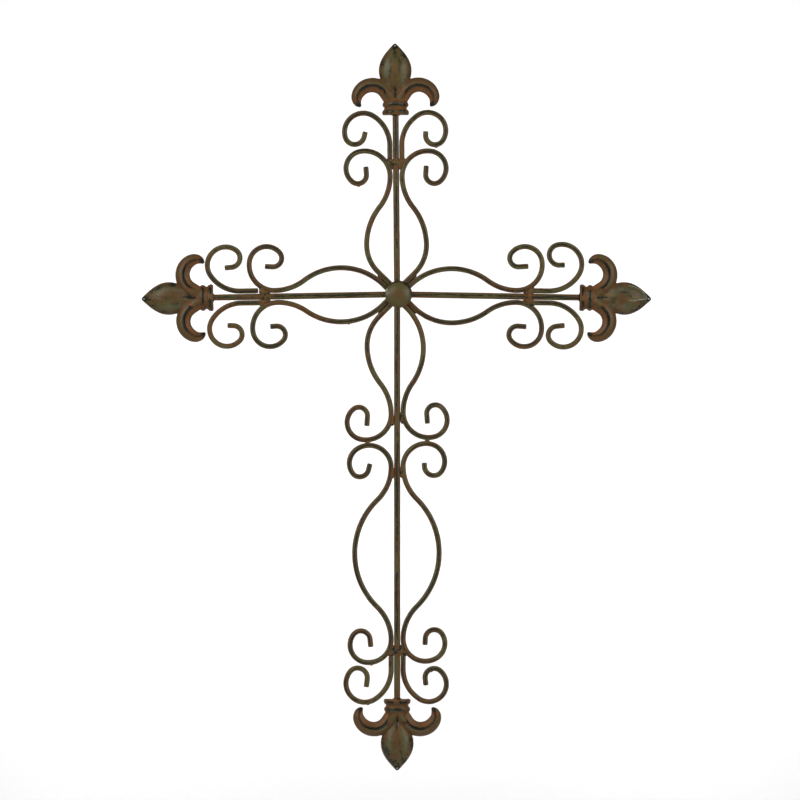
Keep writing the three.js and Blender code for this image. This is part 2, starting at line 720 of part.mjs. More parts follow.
// Around the rod, on the face of the finial's collar.
function addFinialWeld({ armName, reach }) {
  const ring = new THREE.SphereGeometry(1, ...WELD_SEGMENTS);
  ring.scale(FINIAL_WELD.along, FINIAL_WELD.out, FINIAL_WELD.across);
  ring.translate(reach - CLEARANCE, -FINIAL_WELD.depth, 0);
  const beyond = new THREE.BoxGeometry(2 * FINIAL_WELD.across, 4 * FINIAL_WELD.out, 4 * FINIAL_WELD.across);
  beyond.translate(reach - CLEARANCE + FINIAL_WELD.across, -FINIAL_WELD.depth, 0);
  const weld = largestPiece(cutAll(solidOf(ring), [solidOf(beyond), rodSpace(armRods[armName])]));
  addPiece(armGroups[armName], `weld_${armName}_finial`, geometryOf(weld), weldPaint);
}

for (const name of ARM_NAMES) {
  addArmWeld(layouts[name]);
  addFinialWeld(layouts[name]);
}
for (const scroll of layouts.bottom.scrolls) {
  const side = ARMS.bottom.sides[scroll.sideName];
  addTouchWeld('bottom', `weld_petal_${scroll.sideName}`, scroll.touch, side);
  addTouchWeld('bottom', `weld_bow_${scroll.sideName}`, scroll.bow.touches.upper, side);
  addCurlWeld(scroll);
}

export default cross;
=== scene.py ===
"""The looks of a wrought iron wall cross: round rods, relief castings, weld beads and aged paint.

Metres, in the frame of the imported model: +Z up, the front faces -Y and the wall is the plane y = 0.
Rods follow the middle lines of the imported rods. Finials, boss and welds sit where theirs are.
"""

import math

import bmesh
import bpy
import numpy as np
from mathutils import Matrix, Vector, noise


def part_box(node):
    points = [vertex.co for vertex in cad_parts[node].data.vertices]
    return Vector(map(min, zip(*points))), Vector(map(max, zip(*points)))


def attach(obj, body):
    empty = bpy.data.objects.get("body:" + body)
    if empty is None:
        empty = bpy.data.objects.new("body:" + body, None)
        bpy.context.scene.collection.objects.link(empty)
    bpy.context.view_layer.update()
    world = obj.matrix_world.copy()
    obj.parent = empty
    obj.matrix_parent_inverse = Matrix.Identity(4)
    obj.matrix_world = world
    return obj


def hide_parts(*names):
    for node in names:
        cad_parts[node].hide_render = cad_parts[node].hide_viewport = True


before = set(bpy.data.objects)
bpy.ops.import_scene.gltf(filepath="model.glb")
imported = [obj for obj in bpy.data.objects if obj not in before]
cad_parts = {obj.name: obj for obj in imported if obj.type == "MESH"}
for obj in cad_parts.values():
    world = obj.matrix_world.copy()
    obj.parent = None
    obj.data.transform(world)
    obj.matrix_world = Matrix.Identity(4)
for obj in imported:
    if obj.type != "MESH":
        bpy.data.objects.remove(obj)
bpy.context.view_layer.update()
NODES = sorted(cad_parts)
MM = 0.001
FULL_TURN = 2 * math.pi
# Seeds of the noise on each kind of piece: that of the first piece, and the step to the next.
SEEDS = {"scrolls": (0, 3.7), "bars": (90, 5.1), "finials": (11, 11), "welds": (3, 2.3)}

# The arms' directions in degrees from +X towards +Z.
ARM_DIRECTIONS = {"top": 90.5, "left": 181, "bottom": 270, "right": 359}

# Rods
ROD_DEPTH = 6 * MM
ROD_SIDES = 20
ROD_STEP = 1.2 * MM
ROD_WOBBLE = 0.012
WOBBLE_LENGTH = 14 * MM
# The sawn ends: how far from its end a rod thins, by what share, and the low step of its end face.
END_ROUNDING = 0.7 * MM
END_THINNING = 0.16
END_INSET = 0.5 * MM
END_STEP = 0.25 * MM
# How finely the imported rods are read: points this near are one, points this near the front are on the
# crest, and an arc turns by more than this many radians a facet.
SAME_POINT = 0.01 * MM
CREST_BAND = 0.02 * MM
LEAST_TURN = 1e-3

# Paint on the rods. The tones are how long its slow, medium and quick changes are, and those from side to
# side. Angles are in radians round the rod from its front.
ROD_TONES = (60 * MM, 18 * MM, 6 * MM, 34 * MM)
STROKE_HALF_ANGLE = 0.43
# GLINT_ANGLE and GLINT_HALF_ANGLE place a painted highlight, a thin grey line beside the dark stroke.
GLINT_ANGLE = 0.12
GLINT_HALF_ANGLE = 0.17
CHIP_ANGLE = 0.4
CHIP_HALF_ANGLE = 0.35
CHIP_STRENGTH = 0.6
# How far the burnt paint of a weld and of the boss spreads along the rods.
WELD_HEAT = 10 * MM
BOSS_HEAT = 34 * MM
# Where the rods' paint is chipped or faded, as x and z in millimetres, and how far each place reaches.
CHIPPED = [(100.9, -12.7), (47.4, 181.5), (49.6, 176)]
CHIP_REACH = 1.2
FADED = [(44, -120.4), (-130, 34)]
FADED_REACH = 4

# Finials, in millimetres: x runs out along the arm from the face of the collar and z across it.
COLLAR_DEPTH_SHARE = 0.86
COLLAR_PROFILE = [
    (0, 13), (0.6, 13.7), (1.6, 14.1), (2.8, 14.2), (4.1, 13.9), (5.2, 13.1), (6.2, 12), (7.1, 11.7),
    (7.9, 12), (9, 13.1), (10.2, 13.7), (11.4, 13.75), (12.5, 13.4), (13.5, 12.6), (14.6, 12.1),
]
NECK_PROFILE = [(13.7, 12.2), (16.2, 12.3), (18.7, 11.2), (21.7, 9), (25.2, 6), (29.2, 0.5)]
NECK_DEPTH_SHARE = 0.76
PETAL_PROFILE = [
    (13.2, 6.6), (17.2, 7), (21.7, 8.1), (26.2, 9.8), (30.2, 12), (34.2, 14.1), (38.2, 15.8),
    (42.2, 16.9), (46.2, 17.3), (50.2, 17.1), (54.2, 16.2), (58.2, 14.6), (62.2, 12.3), (66.2, 9.4),
    (69.7, 6.3), (72.7, 3.6), (74.8, 1.6),
]
PETAL_TIP = 75.6
PETAL_DEPTH_SHARE = 0.66
PETAL_EDGE_MARGIN = 0.1
LEAF_START = (13.2, 4.4)
LEAF_HEADING = 33
LEAF_BENDS = [(12, 0), (16, 124), (9.5, 75)]
LEAF_STEP = 1.5
LEAF_OUTER_WIDTH = 9
LEAF_INNER_WIDTH = 6.3
LEAF_RIDGE_DEPTH = 9.4
LEAF_TIP_RIDGE_DEPTH = 4
LEAF_TIP_WIDTH_SHARE = 0.16
# The leaf's section from its outer to its inner edge, as shares of its width and ridge depth. The ridge
# is at 0, and falls off steeply to a lower band on the inner side.
LEAF_SECTION = [
    (1, 0.3), (0.93, 0.47), (0.8, 0.66), (0.6, 0.85), (0.4, 0.96), (0.2, 1), (0.09, 0.98),
    (0, 0.86), (-0.12, 0.7), (-0.4, 0.62), (-0.75, 0.52), (-0.94, 0.4), (-1, 0.28),
]
# How far the leaf's form reaches behind the wall plane before the back of the casting is cut flat.
LEAF_BACK_SHARE = -0.3
CREASE = {"start": 16.2, "deep": 20.2, "fading": 20.2, "end": 34.2, "width": 1.3, "depth": 1.3}
CREASE_FRONT = (-2, -5)
FINIAL_VOXEL = 0.5
FINIAL_SMOOTHING = 2
FINIAL_SEGMENTS = 48

# Paint on the finials, in millimetres. A pair is where a part of the casting or of its paint begins and
# where it is full, along the finial or out from its middle.
ON_COLLAR = (19, 16)
ON_MIDDLE_LEAF = (20, 25)
ON_SIDE_LEAF = {"out": (9, 11), "along": (41, 37)}
FINIAL_TONES = {"patches": 9, "fine": 3.2, "grain": 1.4, "streaks": 4.5}
STREAK_STRETCH = (0.4, 1, 1.2)
# Stripes along the side leaves: how far outside the ridge each runs, and its half width. The glint stripe is
# a painted highlight.
LEAF_STRIPES = {"ridge": (0.5, 1.55), "band": (-3.4, 2.6), "glint": (2.9, 1.1), "edge": (8.4, 1.4)}
COLLAR_FOOT_BAR = 3
COLLAR_BEAD_BAR = 10.9
COLLAR_BAR_HALF_WIDTH = 1.7
# COLLAR_GLINT is where a painted highlight runs along the bead's bar.
COLLAR_GLINT = 11.9
COLLAR_GROOVES = (0, 7.1, 15)
GROOVE_HALF_WIDTH = 1.1
TIP_PALE_SPOT = 72.8
TIP_PALE_SPOT_RADIUS = 0.8
TIP_RING_RADIUS = 1.8
# The rubbed line on the right finial, as x and z of its corners.
SCRATCH = [
    (51.2, 13.5), (57.2, 12.5), (63.2, 9.5), (68.2, 5), (71.2, 0), (64.2, -1), (56.2, -2.5), (51.2, -2),
]
SCRATCH_STEP = 0.8
SCRATCH_HALF_WIDTH = 1.1

# Boss
BOSS_RADIUS = 14.3 * MM
BOSS_DOME_HEIGHT = 10 * MM
BOSS_SEAT = 9.2 * MM
BOSS_HUB_RADIUS = 12 * MM
BOSS_HUB_CHAMFER = 0.6 * MM
BOSS_RIM = 0.9 * MM
BOSS_SIDES = 72
DOME_RINGS = 24
RIM_RINGS = 6
BOSS_DENTS = 0.008
DENT_DEPTH = 9 * MM
BOSS_TONES = {"blotch": 7 * MM, "fine": 2.5 * MM}
# The chipped patch and the bright speck beside it, as shares of the radius to the right and up.
BOSS_CHIP = {"place": (-0.84, 0.12), "reach": (0.2, 0.36)}
BOSS_SPECK = {"place": (-0.86, 0.34), "reach": 0.09}
# BOSS_GLINT places a painted highlight on the dome's right side.
BOSS_GLINT = {"place": 0.74, "reach": 0.15}

# Points of the castings' forms this near each other, in millimetres, are joined.
JOIN_DISTANCE = 1e-4

# Welds, in millimetres and in the axes of the arm that they are on. Each lump is the place of its middle
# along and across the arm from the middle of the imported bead, its distance from the wall, and its half
# sizes in the same order. Across is counted towards the scroll, and "both" repeats a lump on both sides.
WELD_LUMPS = {
    "arm": [
        ("one", (0.5, 0, 6), (3.6, 5, 3.9)),
        ("both", (1.5, 5.4, 6.6), (4.4, 3.2, 3.2)),
        ("both", (-3, 4.2, 6.4), (3.8, 1.6, 2.8)),
        ("both", (2.6, 8.4, 6.4), (3.2, 2.2, 2.6)),
    ],
    "beside": [
        ("one", (0.5, 1.1, 6.5), (6.6, 1.8, 2.7)),
        ("one", (4, 1.9, 6.6), (3.4, 1.8, 2.3)),
    ],
    "curls": [("one", (0, 0, 6.3), (2.8, 2.5, 2.4))],
    "finial": [("one", (0.8, 0, 6.2), (1.5, 4.8, 4.5))],
}
# The seams beside the boss: the distance of their middle from the crossing, and their half sizes.
SEAM = {"middle": 20, "half": (9, 2.2, 1.5)}
LUMP_RINGS = 12
LUMP_SIDES = 18
WELD_VOXEL = 0.4
WELD_SMOOTHING = 3
SEAM_SMOOTHING = 2
WELD_ROUGHNESS = 0.35
WELD_LUMP_SIZE = 2.6
WELD_GRAIN_SIZE = 0.9
WELD_TONES = {"fine": 1.6, "patch": 4}
SEAM_TONES = {"dark": 3, "rust": 2}
WELD_WALL_GAP = 0.3

# Drips of paint under the rods, in millimetres: x and z of each, their half widths, how far below the
# rod's middle line they begin, their half length, and by what share they thin towards the bottom.
DRIPS = [(-25.8, -390.2), (34.2, -389.8), (-30.3, -431.7), (-50.4, -33), (41, 154.5), (-39.6, 112.7)]
DRIP_HALF_WIDTHS = (1.8, 2.3)
DRIP_START = 2.1
DRIP_LENGTH = 1.5
DRIP_THINNING = 0.5
DRIP_TONE = 2 * MM

# Colours of the paint, as seen in daylight.
BROWN = (98, 70, 38)
OLIVE = (92, 84, 48)
RUST = (122, 74, 36)
DARK = (18, 22, 15)
# GREY is partly painted highlight, partly faded and chipped paint.
GREY = (104, 108, 86)
TAN = (134, 116, 76)
PALE = (205, 205, 182)
# How fine the unevenness of the paint is, as the scale of each noise, and between which two values each
# layer goes from bare to full.
PATCH_SCALE = 120
BLOTCH_SCALE = 420
SPECK_SCALE = 1500
RUB_SCALE = 800
OLIVE_RANGE = (0.2, 0.8)
RUST_RANGE = (0.35, 0.8)
DARK_RANGE = (0.3, 0.75)
CAST_DARK_RANGE = (0.18, 1.0)
RUB_RANGE = (0.5, 0.72)
BARE_RANGE = (0.24, 0.5)
GRAIN_STRENGTH = 0.9
GREY_STRENGTH = 0.7
RUB_STRENGTH = 0.3
DARK_GLOSS = 0.16
UNEVEN_GLOSS = 0.3
RELIEF_GRAIN = 0.6
RELIEF_DEPTH = 0.4 * MM

# The backdrop, in metres: a floor that bends up into a wall, from the near edge to the top edge.
FLOOR_HEIGHT = -1.3
FLOOR_NEAR = -4.0
WALL_PLACE = 4.0
WALL_TOP = 3.5
BEND_RADIUS = 0.6
BEND_STEPS = 12
STAGE_HALF_WIDTH = 6.0
STAGE_WHITE = (252, 252, 252)

# Lights, in metres and watts: the place, power and size of each that is aimed at the cross, and whether
# it shows in gloss. The backdrop's lamp stands on both sides, and its values are those of the right one.
SOFT_LIGHTS = [
    ("left_softbox", (-1.5, -1.5, 0.9), 27, (1.0, 1.6), True),
    ("right_softbox", (1.6, -1.3, 0.5), 19, (0.9, 1.6), True),
    ("back_fill", (0, 2.4, -0.1), 18, (1.2, 1.2), False),
]
BACKDROP_LAMP = {"place": (1.8, 2.9, -0.25), "aim": (-0.2, 4.0, -0.25), "power": 17.4, "size": (0.2, 3.6)}
BACKDROP_SPREAD = 90
ROOM_LIGHT = 0.16

# The camera looks straight at the cross. CENTRE is the middle of the picture, VIEW_WIDTH the width that
# it takes in at the rods.
CENTRE = Vector((3.0 * MM, 0, -110.8 * MM))
VIEW_WIDTH = 838.9 * MM
CAMERA_DISTANCE = 3.2
SENSOR_WIDTH = 36


def linear(colour):
    """A colour of 0 to 255 as the shader's linear values."""
    shares = [value / 255 for value in colour]
    return [s / 12.92 if s <= 0.04045 else ((s + 0.055) / 1.055) ** 2.4 for s in shares] + [1]


def smoothstep(low, high, values):
    """From 0 at low to 1 at high, which may be the smaller of the two."""
    t = np.clip((values - low) / (high - low), 0, 1)
    return t * t * (3 - 2 * t)


def bell(gaps, reach):
    """1 where a gap is 0, falling off smoothly on both sides."""
    return np.exp(-((gaps / reach) ** 2))


def noise_at(points, size, seed):
    """Smooth noise from about -1 to 1 at each point. size is the length of its lumps."""
    shift = Vector((seed * 7.13, seed * 3.71, seed * 5.29))
    return np.array([noise.noise(Vector(p) / size + shift) for p in points])


def seed_of(kind, place):
    first, step = SEEDS[kind]
    return first + place * step


def quarter_turn(steps):
    return [i / steps * math.pi / 2 for i in range(steps + 1)]


def axes(direction):
    """The unit vectors along an arm and across it, from its direction in degrees."""
    angle = math.radians(direction)
    return np.array([math.cos(angle), 0, math.sin(angle)]), np.array([-math.sin(angle), 0, math.cos(angle)])


# Meshes and pieces


def new_mesh(name, vertices, faces):
    mesh = bpy.data.meshes.new(name)
    mesh.from_pydata([tuple(v) for v in vertices], [], faces)
    mesh.validate()
    return mesh


def add_piece(name, mesh, material, nodes):
    """Puts a mesh in the frame as a smooth piece that stands for CAD nodes."""
    mesh.shade_smooth()
    mesh.materials.append(material)
    piece = bpy.data.objects.new(name, mesh)
    bpy.context.scene.collection.objects.link(piece)
    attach(piece, "root")
    if nodes:
        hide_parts(*nodes)


def set_paint(mesh, paint):
    """Stores a row for each vertex: its shares of dark, rust and grey paint, where the grey is partly painted
    highlight, and of olive. They are held between 0 and 1."""
    attribute = mesh.attributes.new("paint", "FLOAT_COLOR", "POINT")
    attribute.data.foreach_set("color", np.clip(paint, 0, 1).astype(np.float32).ravel())


def set_flecks(mesh, flecks):
    """Stores how much bare pale metal shows at each vertex, from 0 to 1."""
    attribute = mesh.attributes.new("flecks", "FLOAT", "POINT")
    attribute.data.foreach_set("value", np.asarray(flecks, np.float32).ravel())


def vertices_of(mesh):
    co = np.zeros(len(mesh.vertices) * 3)
    mesh.vertices.foreach_get("co", co)
    return co.reshape(-1, 3)


def normals_of(mesh):
    normals = np.zeros(len(mesh.vertices) * 3)
    mesh.vertices.foreach_get("normal", normals)
    return normals.reshape(-1, 3)


def tube_faces(rings, sides):
    """Faces over rings of vertices that follow each other, closed at both ends."""
    faces = []
    for i in range(rings - 1):
        for j in range(sides):
            k = (j + 1) % sides
            faces.append((i * sides + j, i * sides + k, (i + 1) * sides + k, (i + 1) * sides + j))
    faces.append(tuple(reversed(range(sides))))
    faces.append(tuple(range((rings - 1) * sides, rings * sides)))
    return faces


def joined_mesh(name, forms):
    mesh = bmesh.new()
    for vertices, faces in forms:
        made = [mesh.verts.new(v) for v in vertices]
        for face in faces:
            mesh.faces.new([made[i] for i in face])
    bmesh.ops.remove_doubles(mesh, verts=mesh.verts, dist=JOIN_DISTANCE)
    bmesh.ops.recalc_face_normals(mesh, faces=mesh.faces)
    data = bpy.data.meshes.new(name)
    mesh.to_mesh(data)
    mesh.free()
    return data


def remeshed(name, forms, voxel, smoothing):
    """Forms joined into one skin, as a casting is. Lengths are in millimetres."""
    piece = bpy.data.objects.new(name, joined_mesh(name, forms))
    bpy.context.scene.collection.objects.link(piece)
    remesh = piece.modifiers.new("skin", "REMESH")
    remesh.mode = "VOXEL"
    remesh.voxel_size = voxel
    smooth = piece.modifiers.new("soften", "SMOOTH")
    smooth.iterations = smoothing
    smooth.factor = 0.5
    evaluated = piece.evaluated_get(bpy.context.evaluated_depsgraph_get())
    mesh = bpy.data.meshes.new_from_object(evaluated)
    bpy.data.objects.remove(piece)
    mesh.name = name
    return mesh


# Welds' places, and the burnt paint about them


def middle(node):
    low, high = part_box(node)
    return (low + high) / 2


WELDS = [node for node in NODES if node.startswith("weld")]
WELD_MIDDLES = np.array([middle(node) for node in WELDS])


def heat_at(points):
    """How much each point is in the burnt, rusty paint near a weld or the boss, from 0 to 1."""
    gaps = np.linalg.norm(points[:, None, :] - WELD_MIDDLES[None], axis=2).min(axis=1)
    to_crossing = np.hypot(points[:, 0], points[:, 2])
    return np.maximum(bell(gaps, WELD_HEAT), np.exp(-((to_crossing / BOSS_HEAT) ** 4)))


# Materials


def join(tree, socket, value):
    """Links a value to a socket, or sets it there if it is a plain one."""
    if isinstance(value, bpy.types.NodeSocket):
        tree.links.new(value, socket)
    else:
        socket.default_value = value


def mix_colour(tree, factor, first, second):
    node = tree.nodes.new("ShaderNodeMix")
    node.data_type = "RGBA"
    for socket, value in ((node.inputs["Factor"], factor), (node.inputs[6], first), (node.inputs[7], second)):
        join(tree, socket, value)
    return node.outputs[2]


def combine(tree, operation, first, second, clamp=False):
    node = tree.nodes.new("ShaderNodeMath")
    node.operation = operation
    node.use_clamp = clamp
    for socket, value in zip(node.inputs, (first, second)):
        join(tree, socket, value)
    return node.outputs[0]


def centred(tree, texture, centre=0.5):
    return combine(tree, "SUBTRACT", texture, centre)


def noise_node(tree, scale, detail=4, roughness=0.6, seed=0.0):
    coordinates = tree.nodes.new("ShaderNodeTexCoord")
    mapping = tree.nodes.new("ShaderNodeMapping")
    mapping.inputs["Location"].default_value = (seed, seed * 0.7, seed * 1.3)
    texture = tree.nodes.new("ShaderNodeTexNoise")
    texture.inputs["Scale"].default_value = scale
    texture.inputs["Detail"].default_value = detail
    texture.inputs["Roughness"].default_value = roughness
    tree.links.new(coordinates.outputs["Object"], mapping.inputs["Vector"])
    tree.links.new(mapping.outputs["Vector"], texture.inputs["Vector"])
    return texture.outputs["Fac"]


def ramp(tree, value, low, high):
    node = tree.nodes.new("ShaderNodeMapRange")
    node.interpolation_type = "SMOOTHSTEP"
    node.inputs["From Min"].default_value = low
    node.inputs["From Max"].default_value = high
    tree.links.new(value, node.inputs["Value"])
    return node.outputs["Result"]


def attribute_node(tree, name):
    node = tree.nodes.new("ShaderNodeAttribute")
    node.attribute_name = name
    return node


def new_material(name):
    """A material with its node tree and its shader."""
    material = bpy.data.materials.new(name)
    material.use_nodes = True
    return material, material.node_tree, material.node_tree.nodes["Principled BSDF"]


def aged_paint(name, bump, roughness, rust_bias=0.0, grain=900, dark_range=DARK_RANGE):
    """Brown paint with dark paint brushed over it, rust showing through and grey laid on, partly as painted
    highlight, laid out by a piece's paint shares and broken up by fine noise."""
    material, tree, shader = new_material(name)
    attribute = attribute_node(tree, "paint")
    shares = tree.nodes.new("ShaderNodeSeparateColor")
    tree.links.new(attribute.outputs["Color"], shares.inputs["Color"])
    dark, rust, grey = shares.outputs
    olive = attribute.outputs["Alpha"]

    patches = noise_node(tree, PATCH_SCALE, seed=1)
    blotches = noise_node(tree, BLOTCH_SCALE, detail=6, seed=2)
    specks = noise_node(tree, SPECK_SCALE, detail=3, seed=3)

    uneven_olive = combine(tree, "ADD", olive, centred(tree, patches))
    colour = mix_colour(tree, ramp(tree, uneven_olive, *OLIVE_RANGE), linear(BROWN), linear(OLIVE))
    uneven_rust = combine(tree, "ADD", rust, centred(tree, blotches, 0.5 - rust_bias))
    colour = mix_colour(tree, ramp(tree, uneven_rust, *RUST_RANGE), colour, linear(RUST))
    grains = combine(tree, "MULTIPLY", centred(tree, specks), GRAIN_STRENGTH)
    uneven_dark = combine(tree, "ADD", combine(tree, "ADD", dark, grains), centred(tree, blotches))
    dark_share = ramp(tree, uneven_dark, *dark_range)
    colour = mix_colour(tree, dark_share, colour, linear(DARK))
    # Grey: partly painted highlight, partly faded and chipped paint.
    colour = mix_colour(tree, combine(tree, "MULTIPLY", grey, GREY_STRENGTH), colour, linear(GREY))
    rubbed = ramp(tree, noise_node(tree, RUB_SCALE, detail=5, roughness=0.7, seed=5), *RUB_RANGE)
    colour = mix_colour(tree, combine(tree, "MULTIPLY", rubbed, RUB_STRENGTH), colour, linear(TAN))
    bare = combine(tree, "ADD", attribute_node(tree, "flecks").outputs["Fac"], centred(tree, specks))
    colour = mix_colour(tree, ramp(tree, bare, *BARE_RANGE), colour, linear(PALE))
    tree.links.new(colour, shader.inputs["Base Color"])

    gloss = combine(tree, "MULTIPLY", dark_share, DARK_GLOSS)
    uneven_gloss = combine(tree, "MULTIPLY", centred(tree, blotches), UNEVEN_GLOSS)
    rough = combine(tree, "SUBTRACT", combine(tree, "ADD", uneven_gloss, roughness), gloss, clamp=True)
    tree.links.new(rough, shader.inputs["Roughness"])
    shader.inputs["Metallic"].default_value = 0.1
    shader.inputs["Specular IOR Level"].default_value = 0.3

    relief = tree.nodes.new("ShaderNodeBump")
    relief.inputs["Strength"].default_value = bump
    relief.inputs["Distance"].default_value = RELIEF_DEPTH
    grit = combine(tree, "MULTIPLY", noise_node(tree, grain, seed=4), RELIEF_GRAIN)
    tree.links.new(combine(tree, "ADD", blotches, grit), relief.inputs["Height"])
    tree.links.new(relief.outputs["Normal"], shader.inputs["Normal"])
    return material


def plain_paint(name, colour, roughness):
    """Matt paint with a faint unevenness, for the floor and the wall."""
    material, tree, shader = new_material(name)
    tint = mix_colour(tree, noise_node(tree, 3), linear(colour), linear([c * 0.99 for c in colour]))
    tree.links.new(tint, shader.inputs["Base Color"])
    shader.inputs["Roughness"].default_value = roughness
    return material


# Rods


def crest_line(node):
    """The front crest of a faceted rod, as points in order along it, and the rod's radius. The crest lies
    exactly over the rod's middle line."""
    mesh = bmesh.new()
    mesh.from_mesh(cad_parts[node].data)
    bmesh.ops.remove_doubles(mesh, verts=mesh.verts, dist=SAME_POINT)
    depths = [v.co.y for v in mesh.verts]
    front = min(depths)
    radius = (max(depths) - front) / 2
    crest = {v for v in mesh.verts if v.co.y < front + CREST_BAND}
    beside = {v: [e.other_vert(v) for e in v.link_edges if e.other_vert(v) in crest] for v in crest}
    ends = [v for v in crest if len(beside[v]) == 1]
    walk = [min(ends, key=lambda v: (v.co.x, v.co.z))]
    while len(walk) < len(crest):
        walk.append(next(v for v in beside[walk[-1]] if v not in walk))
    points = np.array([(v.co.x, v.co.z) for v in walk])
    mesh.free()
    return points, radius


def bent_line(points, step):
    """The straights and true arcs that a faceted line was cut from, sampled at about the given step. Each
    row is x, z and heading. The line starts straight, and two facets of one arc turn alike."""
    chords = np.diff(points, axis=0)
    lengths = np.hypot(chords[:, 0], chords[:, 1])
    headings = np.unwrap(np.arctan2(chords[:, 1], chords[:, 0]))
    turns = [0.0]
    for corner in np.diff(headings):
        turns.append(2 * corner - turns[-1])
    rows = []
    for (x, z), length, heading, turn in zip(points, lengths, headings, turns):
        start = heading - turn / 2
        count = max(2, math.ceil(length / step))
        for share in np.arange(count) / count:
            now = start + turn * share
            if abs(turn) < LEAST_TURN:
                along, up = length * share * math.cos(heading), length * share * math.sin(heading)
            else:
                radius = length / (2 * math.sin(turn / 2))
                along = radius * (math.sin(now) - math.sin(start))
                up = radius * (math.cos(start) - math.cos(now))
            rows.append((x + along, z + up, now))
    rows.append((*points[-1], headings[-1] + turns[-1] / 2))
    return np.array(rows)


def from_front(angles):
    """Angles round a rod, as the nearest way from its front."""
    return (angles + math.pi) % FULL_TURN - math.pi


def nearness(centres, places, reach):
    """How near each point of a rod's middle line is to the nearest place, from 0 to 1. Lengths in places
    and reach are in millimetres."""
    plane = centres[:, [0, 2]] / MM
    gaps = np.linalg.norm(plane[:, None, :] - np.array(places)[None], axis=2).min(axis=1)
    return bell(gaps, reach)


def rod_paint(centres, angles, seed):
    """Paint shares around a rod: a dark stroke that wanders about the crest, a painted highlight beside it,
    rust on the flanks and a little more near welds, grey where the paint is faded, and slow changes of tone."""
    slow, medium, quick, side = (
        noise_at(centres, length, seed + i)[:, None] for i, length in enumerate(ROD_TONES)
    )
    heat = heat_at(centres)[:, None] * np.clip(0.65 + 1.3 * quick, 0, 1.2)
    off = from_front(angles[None, :] - 0.35 * medium - 0.5 * side)
    dark = (0.85 + 0.8 * slow + 0.35 * quick - 0.3 * heat) * bell(off, STROKE_HALF_ANGLE + 0.22 * quick)
    across = np.sin(angles)[None, :]
    flank = smoothstep(0.3, 0.9, np.abs(across))
    rust = 0.1 + flank * (0.4 + 1.2 * side * np.sign(across) + 0.5 * medium) + 0.3 * heat + 0.3 * quick
    faded = nearness(centres, FADED, FADED_REACH)[:, None]
    glint_strength = np.clip(0.25 + 0.6 * quick + 0.5 * slow, 0, 1)
    # Grey: a painted highlight beside the dark stroke, and faded paint.
    grey = glint_strength * bell(off - GLINT_ANGLE, GLINT_HALF_ANGLE) + 0.8 * faded
    olive = np.broadcast_to(0.6 + 0.9 * side + 0.4 * medium - 0.3 * heat, dark.shape)
    return np.stack([dark - faded, rust, grey, olive], axis=2)


def rod_radii(centres, radius, seed):
    """A slightly uneven radius at each station, which thins at the rod's ends."""
    steps = np.linalg.norm(np.diff(centres, axis=0), axis=1)
    distances = np.concatenate([[0], np.cumsum(steps)])
    to_end = np.minimum(distances, distances[-1] - distances)
    rounding = np.clip(1 - to_end / END_ROUNDING, 0, 1)
    wobble = ROD_WOBBLE * noise_at(centres, WOBBLE_LENGTH, seed)
    return radius * (1 + wobble) * (1 - END_THINNING * rounding**2)


def add_rod(node, material, seed):
    """A round rod along the middle line of a packed one. Returns its stations, as bent_line does."""
    points, radius = crest_line(node)
    rows = bent_line(points, ROD_STEP)
    level = np.zeros(len(rows))
    centres = np.column_stack([rows[:, 0], level - ROD_DEPTH, rows[:, 1]])
    sides = np.column_stack([-np.sin(rows[:, 2]), level, np.cos(rows[:, 2])])
    angles = np.arange(ROD_SIDES) / ROD_SIDES * FULL_TURN
    front = np.array([0, -1, 0])
    ring = np.cos(angles)[None, :, None] * front + np.sin(angles)[None, :, None] * sides[:, None, :]
    vertices = centres[:, None, :] + rod_radii(centres, radius, seed)[:, None, None] * ring
    mesh = new_mesh(f"{node}_round", vertices.reshape(-1, 3), tube_faces(len(rows), ROD_SIDES))
    set_paint(mesh, rod_paint(centres, angles, seed))
    chipped = CHIP_STRENGTH * nearness(centres, CHIPPED, CHIP_REACH)[:, None]
    set_flecks(mesh, chipped * bell(from_front(angles) - CHIP_ANGLE, CHIP_HALF_ANGLE)[None, :])
    soften_ends(mesh)
    add_piece(f"{node}_round", mesh, material, [node])
    return rows


def soften_ends(mesh):
    """Gives each sawn end of a rod a low step inside its edge."""
    rod = bmesh.new()
    rod.from_mesh(mesh)
    caps = [face for face in rod.faces if len(face.verts) == ROD_SIDES]
    for cap in caps:
        bmesh.ops.inset_region(rod, faces=[cap], thickness=END_INSET, depth=END_STEP)
    bmesh.ops.recalc_face_normals(rod, faces=rod.faces)
    rod.to_mesh(mesh)
    rod.free()


# Finials


def lathe_form(profile, depth_share, tip=None):
    """A turned form along x, as vertices and faces in millimetres. It starts and ends on its axis."""
    rows = [(profile[0][0], 0.0), *profile, (tip or profile[-1][0], 0.0)]
    vertices = []
    for x, radius in rows:
        for i in range(FINIAL_SEGMENTS):
            angle = i / FINIAL_SEGMENTS * FULL_TURN
            vertices.append((x, radius * depth_share * math.sin(angle), radius * math.cos(angle)))
    return vertices, tube_faces(len(rows), FINIAL_SEGMENTS)


def leaf_line():
    """Stations along the middle of a side leaf: rows of x, z, heading and share of the length."""
    (x, z), heading = LEAF_START, math.radians(LEAF_HEADING)
    rows = []
    walked = 0.0
    for size, degrees in LEAF_BENDS:
        turn = math.radians(degrees)
        length = size * turn if turn else size
        count = math.ceil(length / LEAF_STEP)
        for _ in range(count):
            rows.append((x, z, heading, walked))
            half = heading + turn / count / 2
            x += length / count * math.cos(half)
            z += length / count * math.sin(half)
            heading += turn / count
            walked += length / count
    rows.append((x, z, heading, walked))
    rows = np.array(rows)
    rows[:, 3] /= walked
    return rows


LEAF_LINE = leaf_line()


